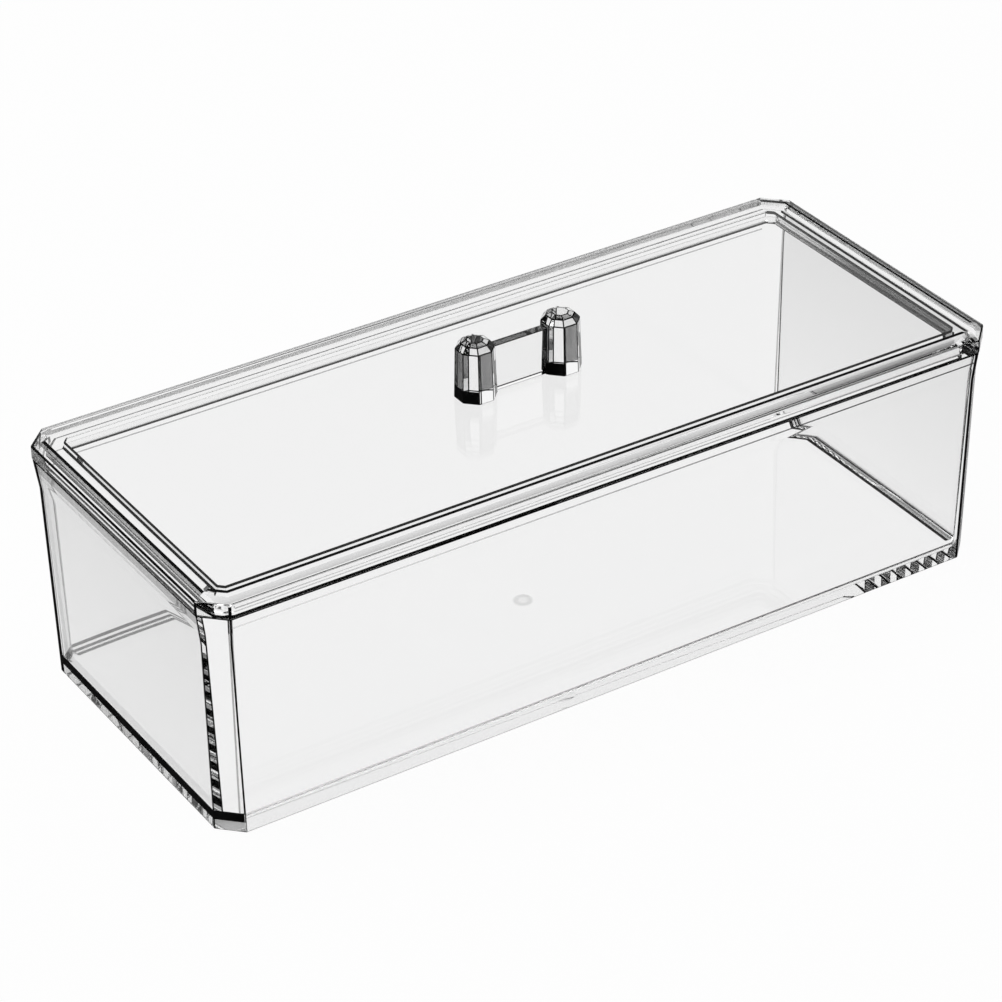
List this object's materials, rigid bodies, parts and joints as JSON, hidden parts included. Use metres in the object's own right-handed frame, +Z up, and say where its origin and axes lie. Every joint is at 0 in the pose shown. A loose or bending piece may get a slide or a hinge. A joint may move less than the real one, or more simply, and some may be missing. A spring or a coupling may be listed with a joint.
{
  "type": "clear storage box",
  "caption": "Long clear plastic box with cut corners and flared walls, closed by a loose thick-edged lid with a faceted two-post grip.",
  "frame": {"origin": "middle of the tray's flat underside", "axes": "+X along the box's length, +Y across it to the back, +Z up through the lid and the handle"},
  "size_m": [0.23, 0.095, 0.0831],
  "materials": {
    "tray_plastic": "clear polished",
    "lid_plastic": "clear polished",
    "handle_plastic": "clear polished, cut facets"
  },
  "bodies": {
    "tray": {"tray": "tray_plastic"},
    "lid": {"lid": "lid_plastic", "handle": "handle_plastic"}
  },
  "joints": [
    {"name": "lid_lift", "type": "slide", "parent": "tray", "child": "lid", "axis": [0, 0, 1], "range_m": [0, 0.1]}
  ]
}
